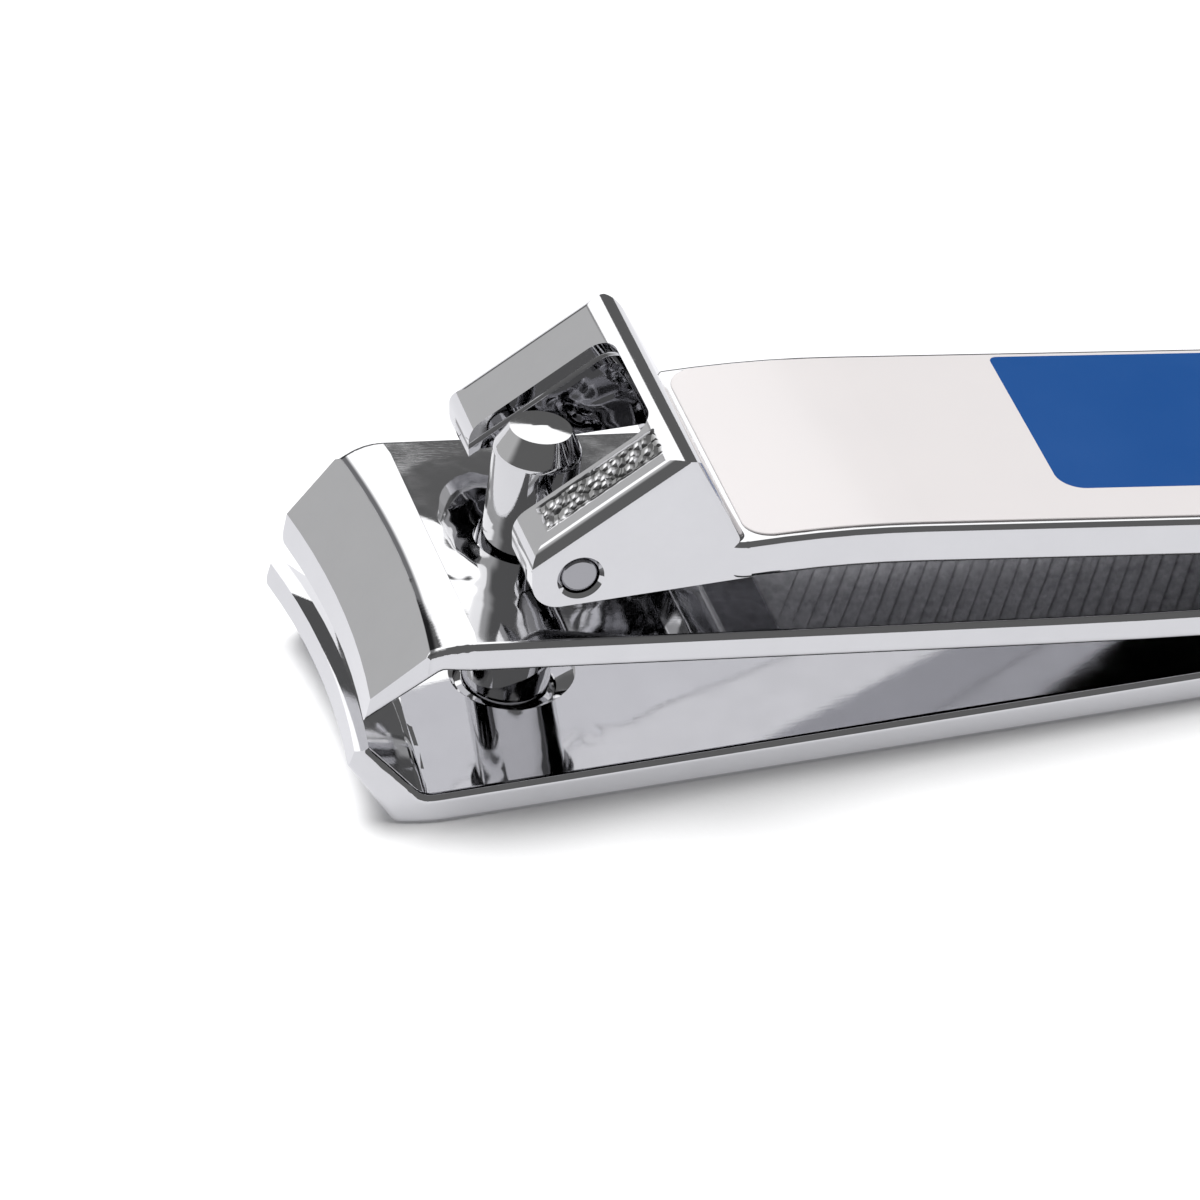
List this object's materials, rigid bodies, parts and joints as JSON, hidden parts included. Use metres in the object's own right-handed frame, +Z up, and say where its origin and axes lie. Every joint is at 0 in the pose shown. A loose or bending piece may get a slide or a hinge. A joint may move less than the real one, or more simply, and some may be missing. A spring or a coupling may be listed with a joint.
{
  "type": "lever nail clipper",
  "caption": "Chrome two-arm nail clipper with a folding lever, notched post, cross pin, rear eyelet and an enamel label.",
  "frame": {"origin": "centre of the tool's length and width, on the flat underside of the lower arm", "axes": "+X from the jaws to the rear eyelet, +Y across the arms, +Z up from the underside towards the lever"},
  "size_m": [0.0798, 0.017, 0.0161],
  "materials": {
    "arm_chrome": "polished plating with ground jaw facets",
    "fitting_chrome": "polished plating, turned",
    "lever_chrome": "polished plating over pressed steel",
    "white_enamel": "glossy domed enamel",
    "blue_print": "glossy plain blue print"
  },
  "bodies": {
    "lower_blade": {"lower_arm": "arm_chrome", "rear_eyelet": "fitting_chrome"},
    "upper_blade": {"upper_arm": "arm_chrome"},
    "post": {"post": "fitting_chrome"},
    "pin": {"cross_pin": "fitting_chrome"},
    "lever": {"lever": "lever_chrome", "label_plate": "white_enamel", "label_patch": "blue_print"}
  },
  "joints": [
    {"name": "jaw_close", "type": "hinge", "parent": "lower_blade", "child": "upper_blade", "pos_m": [0.035, 0, 0.00144], "axis": [0, -1, 0], "range_deg": [0, 0.948], "stiffness_Nm_per_rad": 20},
    {"name": "post_swivel", "type": "hinge", "parent": "lower_blade", "child": "post", "pos_m": [-0.02974, 0, 0.00846], "axis": [0.1305, 0, 0.9914], "continuous": true},
    {"name": "lever_press", "type": "hinge", "parent": "post", "child": "pin", "pos_m": [-0.02912, 0, 0.01084], "axis": [0, -1, 0], "range_deg": [0, 7.9]},
    {"name": "lever_flip", "type": "hinge", "parent": "pin", "child": "lever", "pos_m": [-0.02912, 0, 0.01084], "axis": [0, -1, 0], "range_deg": [0, 141]}
  ],
  "couplings": [
    {"joint": "jaw_close", "follows": "lever_press", "ratio": 0.12}
  ]
}
